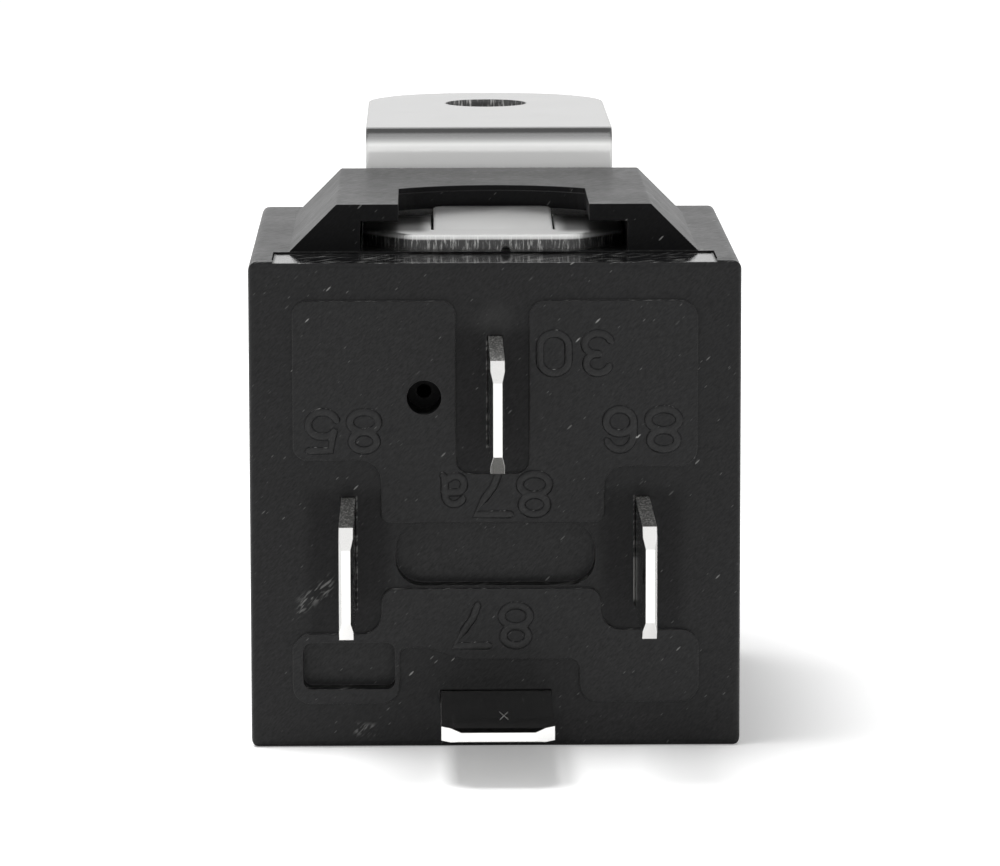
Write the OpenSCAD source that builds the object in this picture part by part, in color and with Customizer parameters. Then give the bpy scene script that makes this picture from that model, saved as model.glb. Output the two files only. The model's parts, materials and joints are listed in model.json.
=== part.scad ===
// Plug-in automotive relay lying on its flat side, with its blades towards -Y and its mounting
// bracket on the upper side. Sizes are in millimetres. Inside the modules the blade face of the
// base is at Y = 0 and the side that the relay lies on is at Z = 0; placed() then moves every
// piece so that the origin is under the middle of the whole relay.

/* [Housing] */
// Width of the body, left to right
body_w = 28; // [27:0.5:36]
// Height of the body, from the side it lies on to the side that carries the bracket
body_h = 28; // [27:0.5:36]
// Depth of the body, from the blade face to the far wall
body_d = 29.5; // [26:0.5:36]
// Wall thickness of the cover
wall = 1.2; // [0.9:0.1:1.6]
// Thickness of the visible flange of the base
flange_t = 1.2; // [0.8:0.1:2]
// Thickness of the floor of the base, flange included
floor_t = 3.2; // [2.8:0.1:4]
// Depth of the base from the blade face to the end of its rim
base_d = 4.9; // [4.5:0.1:7]
// Rounding of the four long edges of the body
corner_r = 0.5; // [0.2:0.05:0.8]
// Rounding round the blade face and round the far wall
edge_r = 0.35; // [0.2:0.05:0.5]
// Draft of the left and right sides at the far wall
draft = 0.02; // [0:0.02:0.3]

/* [Bracket channel] */
// Distance from the channel's far end to the far wall
channel_back = 3.7; // [0:0.1:6]
// Width of the channel's flat roof on each side of the bracket
roof_side = 1.5; // [1.2:0.1:1.8]
// Height of the channel above the body
channel_h = 2.72; // [2.5:0.01:3.5]
// Height of the slot that takes the bracket
slot_h = 1.44; // [1.35:0.01:1.6]
// Extra height of the slot under the two ears at its mouth
ear_lift = 0.31; // [0.1:0.01:0.4]
// Width of the notch in the roof, between the ears
notch_w = 11; // [9.5:0.1:12]
// Length of the notch along the middle
notch_l = 10.4; // [10.2:0.05:11]
// Depth of the curve that ends the notch
notch_sag = 2; // [1:0.1:2.5]
// Width of the smooth apron of the base on each side of the channel's foot
apron_side = 0.85; // [0.4:0.05:1]
// Step down from the shoulders to the apron
apron_drop = 0.09; // [0:0.01:0.2]

/* [Mounting bracket] */
// Width of the steel strip
strip_w = 15.1; // [12.5:0.1:16]
// Thickness of the steel strip
strip_t = 1; // [0.8:0.05:1.2]
// Height of the tab above the part in the channel
tab_rise = 4.02; // [3:0.01:6]
// Reach of the tab past the channel's far end
tab_reach = 26.2; // [18:0.1:35]
// Rounding of the two corners of the tab
tab_r = 6.5; // [3:0.1:7.4]
// Diameter of the screw hole in the tab
hole_d = 5.2; // [4.3:0.1:6.5]
// Distance from the hole's middle to the tab's end
hole_back = 7.5; // [5:0.1:9]
// Distance from the channel's far end to the upright part of the strip
riser_gap = 0.9; // [0.5:0.1:2]
// Inner radius of the bends
bend_r = 0.4; // [0.2:0.05:0.8]
// Width of the cut at each near corner of the strip
nose_side = 2.8; // [1:0.1:4]
// Length of the cut at each near corner of the strip
nose_back = 3.2; // [1:0.1:4]
// Width of the locking tongue
tongue_w = 6.9; // [5:0.1:8]
// Width of the cuts on both sides of the tongue
tongue_cut = 0.15; // [0.1:0.05:0.8]
// Lift of the tongue's free end
tongue_lift = 0.65; // [0.5:0.05:0.8]

/* [Blades] */
// Width of a blade
blade_w = 6.3; // [5.2:0.1:7.6]
// Thickness of a blade
blade_t = 0.8; // [0.6:0.05:1]
// Length of a blade in front of the base
blade_l = 11.4; // [9:0.1:14]
// Cut at the two corners of a blade's tip
tip_cut = 1.1; // [0.5:0.1:1.6]
// Bevel on the two wide faces at the tip
tip_bevel = 0.15; // [0:0.01:0.2]
// Distance between the two coil blades
coil_pitch = 16.76; // [16:0.02:18]
// Height of the coil blades' middle below the middle of the body
row_drop = 2.67; // [2:0.01:3]
// Height of the middle of blade 30 above the coil blades' middle
above_30 = 9.26; // [8.8:0.02:9.6]
// Depth of the middle of blade 87 below the coil blades' middle
below_87 = 8.44; // [8:0.02:8.6]

/* [Magnet] */
// Diameter of the core's shank
core_d = 6; // [4:0.1:7.2]
// Diameter of the core's pole shoe
pole_d = 8.4; // [7:0.1:10]
// Thickness of the pole shoe
pole_t = 1.2; // [0.8:0.1:1.6]
// Width and height of the bobbin's flanges
bobbin_w = 15.6; // [13:0.1:15.8]
// Thickness of a bobbin flange
bobbin_t = 1; // [0.7:0.05:1.3]
// Wall of the bobbin's barrel
barrel_t = 0.45; // [0.35:0.05:0.8]
// Depth of the bobbin's flanges beyond the winding
winding_inset = 0.6; // [0.3:0.05:1.5]
// Width of the yoke
yoke_w = 13; // [12:0.1:14]
// Thickness of the yoke
yoke_t = 1.5; // [1.2:0.05:1.8]
// Width of the armature
armature_w = 12; // [10:0.1:12.2]
// Thickness of the armature
armature_t = 1.4; // [1:0.05:1.8]
// Angle of the armature when the coil is off
open_angle = 3; // [2:0.1:4]

/* [Contacts] */
// Width of the leaf spring
spring_w = 8; // [5:0.1:9]
// Thickness of the leaf spring
spring_t = 0.3; // [0.2:0.02:0.4]
// Diameter of a contact button
contact_d = 3.2; // [2.4:0.1:3.6]
// Thickness of a contact button
contact_t = 0.9; // [0.6:0.05:1.1]

/* [Clearances] */
// Gap between the cover and the base
seam = 0.05; // [0.03:0.01:0.1]
// Gap round a blade, rivet or core in its hole
fit = 0.03; // [0.02:0.01:0.06]
// Gap left between pole and armature, and between the contacts, when the coil is on
residual = 0.05; // [0.03:0.01:0.1]
// Gap between the yoke and the bobbin, and between the bobbin's arms and the armature
play = 0.3; // [0.2:0.05:0.4]

/* [Hidden] */
$fn = 48;

// Blade places
row_z = body_h / 2 - row_drop;
z_30 = row_z + above_30;
z_87 = row_z - below_87;
tip_l = 0.6;

// Base
boss_t = 1;
boss_margin = 1;
shoulder_t = 0.6;
shoulder_w = 0.5;
rim_t = 1;
relief = 0.3;
vent = [-4.04, 8.94];
vent_d = 1.96;
vent_neck_d = 0.8;
vent_deep = 2.4;
lug = [3.6, 1.4, 0.3];
// Raised panels of the blade face: the corners from the middle of the coil row, each with its
// radius
upper_panel = [
    [-11.5, 5.35, 0.8], [-6.5, 5.35, 1.2], [-6.5, 1.75, 0.5], [6.2, 1.75, 0.5],
    [6.2, 4.95, 1.2], [11.5, 4.95, 1], [11.5, 14.45, 1], [1.95, 14.45, 0.9],
    [1.95, 4.55, 0.8], [-2.25, 4.55, 0.8], [-2.25, 14.45, 0.8], [-11.5, 14.45, 0.8]
];
lower_panel = [
    [-11.6, -8.75, 1], [-5.5, -8.75, 1], [-5.5, -5.5, 0.5], [-3.9, -5.5, 1.2],
    [-1.8, -6.2, 1.5], [4.8, -6.2, 0.6], [4.8, -8.7, 1], [11.6, -8.7, 1],
    [11.6, -4.5, 1], [6.0, -4.5, 1.2], [6.0, -2.1, 0.7], [-6.5, -2.1, 0.7],
    [-6.5, -4.7, 1.2], [-11.6, -4.7, 1]
];
// Blind pockets: left, bottom, right, top and corner radius, then the depth from the blade face
pockets = [
    [-5.7, -1.95, 5.7, 1.65, 1.5, 1.2],
    [-11.0, -7.9, -5.75, -5.2, 0.5, 1.0]
];

// Channel and bracket
channel_y = base_d + 0.15;
channel_end = body_d - channel_back;
roof_w = strip_w + 2 * roof_side;
foot_w = roof_w + 2 * channel_h;
apron_w = foot_w + 2 * apron_side;
roof_z = body_h + channel_h;
slot_w = strip_w + 0.3;
notch_end = channel_y + notch_l;
notch_r = (pow(notch_w / 2, 2) + pow(notch_sag, 2)) / (2 * notch_sag);
notch_lip = [0.15, 0.3];
strip_y = channel_y - 0.25;
riser_y = channel_end + riser_gap + strip_t / 2;
tab_end = channel_end + tab_reach;
nose_r = 1.5;
tongue_root = strip_y + 2.5;
tongue_end = notch_end - notch_sag * pow(tongue_w / notch_w, 2) - 0.12;
nick = [0.7, 0.3];

// Magnet: heights
yoke_z = z_30 + 3.61;
core_z = yoke_z - yoke_t - play - bobbin_w / 2;
// The core's riveted end fills the room below the shoulder of blade 30
core_head_r = z_30 - blade_w / 2 - shoulder_w - core_z - 0.14;
core_stub_r = core_head_r - 0.4;
yoke_end_z = core_z - core_d / 2 - 2.2;
armature_low = core_z - pole_d / 2 - 1.8;
fold_87 = 0.5;
tail_d = 2.2;
contact_z = z_87 + blade_t / 2 + fold_87 + tail_d / 2 + 0.1;
spring_low = contact_z - contact_d / 2;
// Magnet: depths
head_t = 0.3;
swing_room = armature_t + spring_t + head_t + (yoke_z - spring_low) * sin(open_angle) + 0.9;
hinge_y = body_d - wall - swing_room;
pole_y = hinge_y - residual;
yoke_y = floor_t + boss_t + shoulder_t;
bobbin_near = yoke_y + yoke_t + 0.1;
bobbin_far = pole_y - pole_t - 0.1;
winding_d = bobbin_w - 2 * winding_inset;
barrel_r = core_d / 2 + fit + barrel_t;
// The moving contact stands off the leaf spring by a button's thickness plus the residual
stand_off = contact_t + 0.1;
contact_face = hinge_y + armature_t - stand_off - residual;
upright_y = contact_face - contact_t - blade_t / 2;
upright_top = contact_z + contact_d / 2 + 0.2;

// Rivets
rivet_d = 1.6;
rivet_head = 2.8;
armature_rivet = [2.6, yoke_z - 3.4];
yoke_rivet = [2.6, hinge_y - 6.5];
spring_start = yoke_rivet[1] - rivet_head / 2 - 0.8;

// Where the leads meet the coil blades' tails
tail_w = 1.6;
tail_end = bobbin_near + bobbin_t + 2;
lead_d = 0.4;
lead_y = tail_end - 0.8;
lead_z = row_z;

// Corners of an outline or path turned into arcs, with more steps on a larger radius
function unit(v) = v / norm(v);
function steps(r) = ceil(2 + 3 * sqrt(r));
function turned(a, b, c, r) = r <= 0 ? [b] :
    let (
        u = unit(a - b),
        v = unit(c - b),
        half = acos(u * v) / 2,
        centre = b + unit(u + v) * r / sin(half),
        first = b + u * r / tan(half) - centre,
        start = atan2(first.y, first.x),
        sweep = (cross(b - a, c - b) > 0 ? 1 : -1) * (180 - 2 * half)
    )
    [for (i = [0:steps(r)]) let (at = start + sweep * i / steps(r)) centre + r * [cos(at), sin(at)]];
function outline(points, radii) =
    let (n = len(points))
    [for (i = [0:n - 1]) each turned(points[(i + n - 1) % n], points[i], points[(i + 1) % n], radii[i])];
function path(points, r) =
    let (last = len(points) - 1)
    [for (i = [0:last]) each i == 0 || i == last ? [points[i]]
        : turned(points[i - 1], points[i], points[i + 1], r)];
function box_points(x0, y0, x1, y1) = [[x0, y0], [x1, y0], [x1, y1], [x0, y1]];
function box(x0, y0, x1, y1, r) = outline(box_points(x0, y0, x1, y1), [r, r, r, r]);

// The outline of a strip of thickness t folded along a path
function across(points, i) =
    let (
        last = len(points) - 1,
        before = unit(points[max(i, 1)] - points[max(i, 1) - 1]),
        after = unit(points[min(i, last - 1) + 1] - points[min(i, last - 1)]),
        middle = unit(before + after)
    )
    [-middle.y, middle.x] / (middle * before);
function folded(points, t) =
    let (last = len(points) - 1)
    concat(
        [for (i = [0:last]) points[i] + across(points, i) * t / 2],
        [for (i = [last:-1:0]) points[i] - across(points, i) * t / 2]
    );

// Extrusions along the three axes, from outlines in XZ, YZ and XY
module along_y(from, to) {
    translate([0, to, 0]) rotate([90, 0, 0]) linear_extrude(to - from) children();
}
module along_x(width) {
    rotate([90, 0, 90]) linear_extrude(width, center = true) children();
}
module along_z(from, to) {
    translate([0, 0, from]) linear_extrude(to - from) children();
}
// A turned piece on an axis along Y, from [radius, depth] points
module turned_y(x, z, points) {
    translate([x, 0, z]) rotate([-90, 0, 0]) rotate_extrude() polygon(points);
}

// The origin goes under the middle of the relay, between the blade tips and the tab's end
module placed() {
    translate([0, -(tab_end - blade_l) / 2, 0]) children();
}
// The armature and what it carries hang open by open_angle from the yoke's edge
module swung() {
    translate([0, hinge_y, yoke_z]) rotate([open_angle, 0, 0]) translate([0, -hinge_y, -yoke_z])
        children();
}

// A rounded block of the body: its section, its plan and its side view all cut it
module body_block(near, far, near_r, far_r, narrow) {
    half = body_w / 2;
    intersection() {
        along_y(near, far) polygon(box(-half, 0, half, body_h, corner_r));
        along_z(-1, body_h + 1) polygon(outline(
            [[-half, near], [half, near], [half - narrow, far], [narrow - half, far]],
            [near_r, near_r, far_r, far_r]
        ));
        along_x(2 * body_w) polygon(outline(
            box_points(near, 0, far, body_h), [near_r, far_r, far_r, near_r]
        ));
    }
}

// Cover: a drawn-out box with the bracket channel moulded on its upper side
module channel_block() {
    foot = foot_w / 2;
    roof = roof_w / 2;
    along_y(channel_y, channel_end) polygon(outline(
        [[-foot, body_h], [-foot, body_h - wall / 2], [foot, body_h - wall / 2], [foot, body_h],
            [roof, roof_z], [-roof, roof_z]],
        [0, 0, 0, 0, 0.2, 0.2]
    ));
}
module bracket_slot() {
    half = slot_w / 2;
    along_y(channel_y - 1, channel_end + 1)
        polygon(box_points(-half, body_h, half, body_h + slot_h));
    along_y(channel_y - 1, notch_end - notch_sag)
        polygon(box_points(-half, body_h + slot_h - 0.1, half, body_h + slot_h + ear_lift));
}
module notch_cut(grow) {
    intersection() {
        translate([-notch_w / 2, channel_y - 1]) square([notch_w, notch_l + 2]);
        union() {
            translate([0, notch_end - notch_r]) circle(notch_r + grow);
            translate([-notch_w / 2, channel_y - 1]) square([notch_w, notch_l - notch_r + 1]);
        }
    }
}
module cover_shape() {
    inner = body_w / 2 - wall;
    difference() {
        union() {
            body_block(flange_t + seam, body_d, 0, edge_r, draft);
            channel_block();
        }
        along_y(0, body_d - wall) polygon(box(-inner, wall, inner, body_h - wall, 0.4));
        bracket_slot();
        along_z(body_h + slot_h / 2, roof_z + 1) notch_cut(0);
        along_z(roof_z - notch_lip[1], roof_z + 1) notch_cut(notch_lip[0]);
        along_z(body_h - 2 * wall, body_h + 1)
            translate([-apron_w / 2 - seam, 0]) square([apron_w + 2 * seam, base_d + seam]);
        for (side = [-1, 1]) latch_lug(side, seam);
    }
}
module cover() {
    color([0.17, 0.17, 0.17]) placed() cover_shape();
}

// Base: flange, relief, rim, apron, blade slots, bosses and latch lugs
module latch_lug(side, grow) {
    reach = body_w / 2 - wall;
    translate([side * reach, base_d - lug[1] / 2 - 0.4, body_h / 2])
        cube([2 * (lug[2] + grow), lug[1] + 2 * grow, lug[0] + 2 * grow], center = true);
}
module base_relief() {
    for (panel = [upper_panel, lower_panel])
        along_y(-relief, flange_t / 2) polygon(outline(
            [for (corner = panel) [corner.x, row_z + corner.y]], [for (corner = panel) corner.z]
        ));
}
module base_plug() {
    half = body_w / 2 - wall - seam;
    low = wall + seam;
    high = body_h - wall - seam;
    difference() {
        along_y(flange_t / 2, base_d) polygon(box(-half, low, half, high, 0.4));
        along_y(floor_t, base_d + 1)
            polygon(box(rim_t - half, low + rim_t, half - rim_t, high - rim_t, 0.6));
    }
    along_z(high - rim_t / 2, body_h)
        translate([-apron_w / 2, flange_t / 2]) square([apron_w, base_d - flange_t / 2]);
}
// A rounded boss round each blade on the inner side of the floor
module blade_boss(x, z, upright) {
    size = [blade_t / 2 + boss_margin, blade_w / 2 + boss_margin];
    reach = upright ? size : [size[1], size[0]];
    along_y(floor_t - 0.5, floor_t + boss_t)
        polygon(box(x - reach[0], z - reach[1], x + reach[0], z + reach[1], 0.5));
}
module blade_hole(x, z, upright) {
    size = [blade_t / 2 + fit, blade_w / 2 + fit];
    reach = upright ? size : [size[1], size[0]];
    along_y(-1, floor_t + boss_t + 1)
        polygon(box_points(x - reach[0], z - reach[1], x + reach[0], z + reach[1]));
}
module base_shape() {
    half_pitch = coil_pitch / 2;
    low = wall + seam;
    intersection() {
        difference() {
            union() {
                body_block(0, flange_t, edge_r, 0, 0);
                base_relief();
                base_plug();
                blade_boss(0, z_30, true);
                blade_boss(half_pitch, row_z, true);
                blade_boss(-half_pitch, row_z, true);
                blade_boss(0, z_87, false);
                for (side = [-1, 1]) latch_lug(side, 0);
                for (side = [-1, 1])
                    along_y(floor_t - 0.5, yoke_y)
                        polygon(box(side * 5 - 1, yoke_end_z + 0.3, side * 5 + 1, yoke_end_z + 3.3, 0.4));
            }
            blade_hole(0, z_30, true);
            blade_hole(half_pitch, row_z, true);
            blade_hole(-half_pitch, row_z, true);
            blade_hole(0, z_87, false);
            for (p = pockets)
                along_y(-2, p[5]) polygon(box(p[0], row_z + p[1], p[2], row_z + p[3], p[4]));
            translate([vent[0], 0, row_z + vent[1]]) rotate([90, 0, 0]) {
                cylinder(d = vent_d, h = 2 * vent_deep, center = true);
                cylinder(d = vent_neck_d, h = 20, center = true);
            }
            along_z(body_h - apron_drop, body_h + 1)
                translate([-apron_w / 2, -1]) square([apron_w, base_d + 2]);
        }
        // Bosses near the rim stop where the cover's inside begins
        union() {
            along_y(-2, flange_t) polygon(box_points(-body_w, -1, body_w, body_h + 1));
            along_y(flange_t, base_d + 1) polygon(box_points(-body_w, low, body_w, body_h + 1));
        }
    }
}
module base() {
    color([0.19, 0.19, 0.19]) placed() base_shape();
}

// Mounting bracket: one folded strip with a lanced tongue and a screw hole
module bracket_profile() {
    flat_z = body_h + strip_t / 2;
    tab_z = flat_z + tab_rise;
    polygon(folded(path(
        [[strip_y, flat_z], [riser_y, flat_z], [riser_y, tab_z], [tab_end, tab_z]],
        bend_r + strip_t / 2
    ), strip_t));
}
module bracket_plan() {
    half = strip_w / 2;
    nose = half - nose_side;
    difference() {
        polygon(outline(
            [[-nose, strip_y], [nose, strip_y], [half, strip_y + nose_back], [half, tab_end],
                [-half, tab_end], [-half, strip_y + nose_back]],
            [nose_r, nose_r, nose_r, tab_r, tab_r, nose_r]
        ));
        translate([0, tab_end - hole_back]) circle(d = hole_d);
    }
}
module tongue_window() {
    half = tongue_w / 2 + tongue_cut;
    translate([-half, tongue_root]) square([2 * half, tongue_end + 1 - tongue_root]);
}
module tongue() {
    flat_z = body_h + strip_t / 2;
    half = tongue_w / 2;
    intersection() {
        along_x(tongue_w) polygon(folded(path(
            [[tongue_root - 1, flat_z], [tongue_root + 0.3, flat_z],
                [tongue_end + 1, flat_z + tongue_lift * 1.06]],
            3
        ), strip_t));
        along_z(body_h - 1, roof_z) polygon(outline(
            box_points(-half, tongue_root - 0.5, half, tongue_end), [0, 0, 0.8, 0.8]
        ));
    }
}
module mounting_bracket() {
    color([0.82, 0.83, 0.84]) placed() {
        difference() {
            intersection() {
                along_x(strip_w + 1) bracket_profile();
                along_z(body_h - 1, roof_z + tab_rise + 5) bracket_plan();
            }
            along_z(body_h - 1, body_h + strip_t + 0.5) tongue_window();
            translate([nick[0], strip_y, body_h]) sphere(nick[1]);
        }
        tongue();
    }
}

// Terminals: the plan gives the widths and the profile gives the thickness and the folds
module terminal_plan(tail, end) {
    half = blade_w / 2;
    seat = floor_t + boss_t;
    polygon([
        [-half, tip_cut - blade_l], [tip_cut - half, -blade_l],
        [half - tip_cut, -blade_l], [half, tip_cut - blade_l],
        [half, seat], [half + shoulder_w, seat],
        [half + shoulder_w, seat + shoulder_t], [tail / 2, seat + shoulder_t],
        [tail / 2, end], [-tail / 2, end],
        [-tail / 2, seat + shoulder_t], [-half - shoulder_w, seat + shoulder_t],
        [-half - shoulder_w, seat], [-half, seat]
    ]);
}
// The folded outline with the bevelled tip in front of it
module tipped(points) {
    half = blade_t / 2 - tip_bevel;
    polygon(concat([[-blade_l, half]], folded(points, blade_t), [[-blade_l, -half]]));
}
module straight_terminal(x, z, tail, end) {
    translate([x, 0, z]) rotate([0, 90, 0]) intersection() {
        along_z(-blade_t, blade_t) terminal_plan(tail, end);
        along_x(2 * blade_w) tipped([[tip_l - blade_l, 0], [end, 0]]);
    }
}
module terminal_30() {
    color([0.80, 0.79, 0.76]) placed() straight_terminal(0, z_30, 3, yoke_y + yoke_t);
}
module terminal_85() {
    color([0.80, 0.79, 0.76]) placed() straight_terminal(-coil_pitch / 2, row_z, tail_w, tail_end);
}
module terminal_86() {
    color([0.80, 0.79, 0.76]) placed() straight_terminal(coil_pitch / 2, row_z, tail_w, tail_end);
}
// Blade 87 runs on along the floor of the cavity and folds up to carry the fixed contact
module terminal_87() {
    color([0.80, 0.79, 0.76]) placed() difference() {
        intersection() {
            translate([0, 0, z_87]) along_x(2 * blade_w) tipped(path(
                [[tip_l - blade_l, 0], [upright_y, 0], [upright_y, upright_top - z_87]],
                blade_t / 2 + fold_87
            ));
            along_z(0, body_h) terminal_plan(contact_d + 1.6, body_d);
        }
        translate([0, upright_y, contact_z]) rotate([90, 0, 0])
            cylinder(d = rivet_d + 2 * fit, h = 4, center = true);
    }
}

// A rivet or contact on the Z axis: the head lies above grip, the tail below zero
module rivet(head_d, head_h, grip, tail_d) {
    edge = 0.15;
    rotate_extrude() polygon([
        [0, -head_t], [tail_d / 2 - edge, -head_t], [tail_d / 2, edge - head_t], [tail_d / 2, 0],
        [rivet_d / 2, 0], [rivet_d / 2, grip], [head_d / 2, grip],
        [head_d / 2, grip + head_h - edge], [head_d / 2 - edge, grip + head_h], [0, grip + head_h]
    ]);
}
module fixed_contact() {
    color([0.86, 0.85, 0.82]) placed() translate([0, upright_y - blade_t / 2, contact_z])
        rotate([-90, 0, 0]) rivet(contact_d, contact_t, blade_t, tail_d);
}
module moving_contact() {
    color([0.86, 0.85, 0.82]) placed() swung()
        translate([0, hinge_y + armature_t + spring_t, contact_z])
        rotate([90, 0, 0]) rivet(contact_d, stand_off, spring_t, tail_d);
}

// Yoke: an L of soft iron, with its short leg on the base and its long leg over the coil
module yoke_profile() {
    polygon(folded(path(
        [[yoke_y + yoke_t / 2, yoke_end_z], [yoke_y + yoke_t / 2, yoke_z - yoke_t / 2],
            [pole_y, yoke_z - yoke_t / 2]],
        yoke_t / 2 + 0.3
    ), yoke_t));
}
module yoke() {
    tenon = [blade_t / 2 + fit, 1.5 + fit];
    color([0.62, 0.63, 0.65]) placed() difference() {
        along_x(yoke_w) yoke_profile();
        translate([0, yoke_y, core_z]) rotate([90, 0, 0])
            cylinder(r = core_stub_r + fit, h = 4 * yoke_t, center = true);
        along_y(yoke_y - 1, yoke_y + yoke_t + 1)
            polygon(box_points(-tenon[0], z_30 - tenon[1], tenon[0], z_30 + tenon[1]));
        for (side = [-1, 1])
            translate([side * yoke_rivet[0], yoke_rivet[1], yoke_z])
                cylinder(d = rivet_d + 2 * fit, h = 4 * yoke_t, center = true);
    }
}

// Core: riveted into the yoke's short leg, with a pole shoe at the armature
module core() {
    shank = core_d / 2;
    color([0.66, 0.67, 0.68]) placed() turned_y(0, core_z, [
        [0, yoke_y - 0.4], [core_head_r - 0.2, yoke_y - 0.4], [core_head_r, yoke_y],
        [core_stub_r, yoke_y], [core_stub_r, yoke_y + yoke_t], [shank, yoke_y + yoke_t],
        [shank, pole_y - pole_t], [pole_d / 2, pole_y - pole_t],
        [pole_d / 2, pole_y - 0.2], [pole_d / 2 - 0.2, pole_y], [0, pole_y]
    ]);
}

// Bobbin: two flanges on a barrel, and two arms that stop the armature when it opens
module bobbin_flange(from) {
    half = bobbin_w / 2;
    along_y(from, from + bobbin_t)
        polygon(box(-half, core_z - half, half, core_z + half, 1.5));
}
module stop_arm() {
    hook_z = armature_low + 2.1;
    inside = armature_w / 2 + play;
    // Depth at which the open armature's outer face meets the hook
    stop_y = hinge_y + armature_t * cos(open_angle) + (yoke_z - hook_z + 1.6) * sin(open_angle);
    outside = bobbin_w / 2 - 0.1;
    translate([inside, bobbin_far - bobbin_t / 2, hook_z])
        cube([outside - inside, stop_y + 0.95 - bobbin_far + bobbin_t / 2, 1.6]);
    translate([armature_w / 2 - 1.1, stop_y + 0.05, hook_z])
        cube([outside - armature_w / 2 + 1.1, 0.9, 1.6]);
}
module bobbin() {
    color([0.90, 0.88, 0.80]) placed() {
        difference() {
            union() {
                bobbin_flange(bobbin_near);
                bobbin_flange(bobbin_far - bobbin_t);
                turned_y(0, core_z, [
                    [0, bobbin_near], [barrel_r, bobbin_near], [barrel_r, bobbin_far], [0, bobbin_far]
                ]);
                stop_arm();
                mirror([1, 0, 0]) stop_arm();
            }
            turned_y(0, core_z, [
                [0, bobbin_near - 1], [core_d / 2 + fit, bobbin_near - 1],
                [core_d / 2 + fit, bobbin_far + 1], [0, bobbin_far + 1]
            ]);
        }
    }
}

// Winding: enamelled wire between the flanges, a little proud in the middle
module coil_winding() {
    near = bobbin_near + bobbin_t + seam;
    far = bobbin_far - bobbin_t - seam;
    r = winding_d / 2;
    color([0.62, 0.30, 0.12]) placed() turned_y(0, core_z, [
        [barrel_r + seam, near], [r - 0.25, near], [r, near + 0.8],
        [r, far - 0.8], [r - 0.25, far], [barrel_r + seam, far]
    ]);
}

// Lead: two turns round the coil blade's tail and a short run to the winding
module coil_lead(side) {
    x = side * coil_pitch / 2;
    gap = [blade_t / 2 + fit, tail_w / 2 + fit];
    start = sqrt(pow(winding_d / 2, 2) - pow(core_z - lead_z - lead_d / 2, 2)) + seam;
    stop = coil_pitch / 2 - gap[0] - lead_d / 2;
    color([0.72, 0.36, 0.16]) placed() {
        along_y(lead_y - lead_d, lead_y + lead_d) difference() {
            polygon(box(x - gap[0] - lead_d, lead_z - gap[1] - lead_d,
                x + gap[0] + lead_d, lead_z + gap[1] + lead_d, 0.35));
            polygon(box_points(x - gap[0], lead_z - gap[1], x + gap[0], lead_z + gap[1]));
        }
        translate([side * (start + stop) / 2, lead_y, lead_z]) rotate([0, 90, 0])
            cylinder(d = lead_d, h = stop - start, center = true);
    }
}
module coil_lead_85() {
    coil_lead(-1);
}
module coil_lead_86() {
    coil_lead(1);
}

// Armature: a flat plate that hangs from the yoke's edge
module armature() {
    half = armature_w / 2;
    nose = half - 1.8;
    color([0.66, 0.67, 0.68]) placed() swung() difference() {
        intersection() {
            along_y(hinge_y, hinge_y + armature_t) polygon(outline(
                [[-nose, armature_low], [nose, armature_low], [half, armature_low + 1.8],
                    [half, yoke_z - 0.1], [-half, yoke_z - 0.1], [-half, armature_low + 1.8]],
                [0.5, 0.5, 0.5, 0.3, 0.3, 0.5]
            ));
            // The outer top edge is cut away under the spring's bend
            along_x(2 * armature_w) polygon([
                [hinge_y - 1, 0], [hinge_y + armature_t + 1, 0], [hinge_y + armature_t + 1, yoke_z - 1.9],
                [hinge_y + armature_t - 0.8, yoke_z - 0.1], [hinge_y + armature_t - 0.8, yoke_z],
                [hinge_y - 1, yoke_z]
            ]);
        }
        for (side = [-1, 1])
            translate([side * armature_rivet[0], hinge_y, armature_rivet[1]]) rotate([90, 0, 0])
                cylinder(d = rivet_d + 2 * fit, h = 4 * armature_t, center = true);
    }
}

// Leaf spring: flat on the yoke, round the hinge and down the armature to the moving contact
function at_open(y, z) =
    let (dy = y - hinge_y, dz = z - yoke_z, c = cos(open_angle), s = sin(open_angle))
    [hinge_y + dy * c - dz * s, yoke_z + dy * s + dz * c];
module contact_spring() {
    middle = spring_t / 2;
    down = hinge_y + armature_t + middle;
    hole = rivet_d + 2 * fit;
    color([0.78, 0.56, 0.30]) placed() difference() {
        along_x(spring_w) polygon(folded(path(
            [[spring_start, yoke_z + middle], [hinge_y, yoke_z + middle],
                at_open(down, yoke_z + middle), at_open(down, spring_low)],
            0.7
        ), spring_t));
        for (side = [-1, 1]) {
            translate([side * yoke_rivet[0], yoke_rivet[1], yoke_z])
                cylinder(d = hole, h = 2, center = true);
            swung() translate([side * armature_rivet[0], down, armature_rivet[1]])
                rotate([90, 0, 0]) cylinder(d = hole, h = 2, center = true);
        }
        swung() translate([0, down, contact_z]) rotate([90, 0, 0])
            cylinder(d = hole, h = 2, center = true);
        // The spring narrows towards the moving contact
        swung() for (side = [-1, 1])
            along_y(down - 1, down + 1) polygon([
                [side * (spring_w / 2 + 1), spring_low - 1], [side * contact_d / 2, spring_low - 1],
                [side * contact_d / 2, spring_low + contact_d],
                [side * spring_w / 2, armature_low + 1], [side * (spring_w / 2 + 1), armature_low + 1]
            ]);
    }
}
module armature_rivet(side) {
    color([0.70, 0.70, 0.70]) placed() swung()
        translate([side * armature_rivet[0], hinge_y, armature_rivet[1]]) rotate([-90, 0, 0])
        rivet(rivet_head, 0.5, armature_t + spring_t, rivet_head);
}
module yoke_rivet(side) {
    color([0.70, 0.70, 0.70]) placed()
        translate([side * yoke_rivet[0], yoke_rivet[1], yoke_z - yoke_t])
        rivet(rivet_head, 0.5, yoke_t + spring_t, rivet_head);
}

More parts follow.
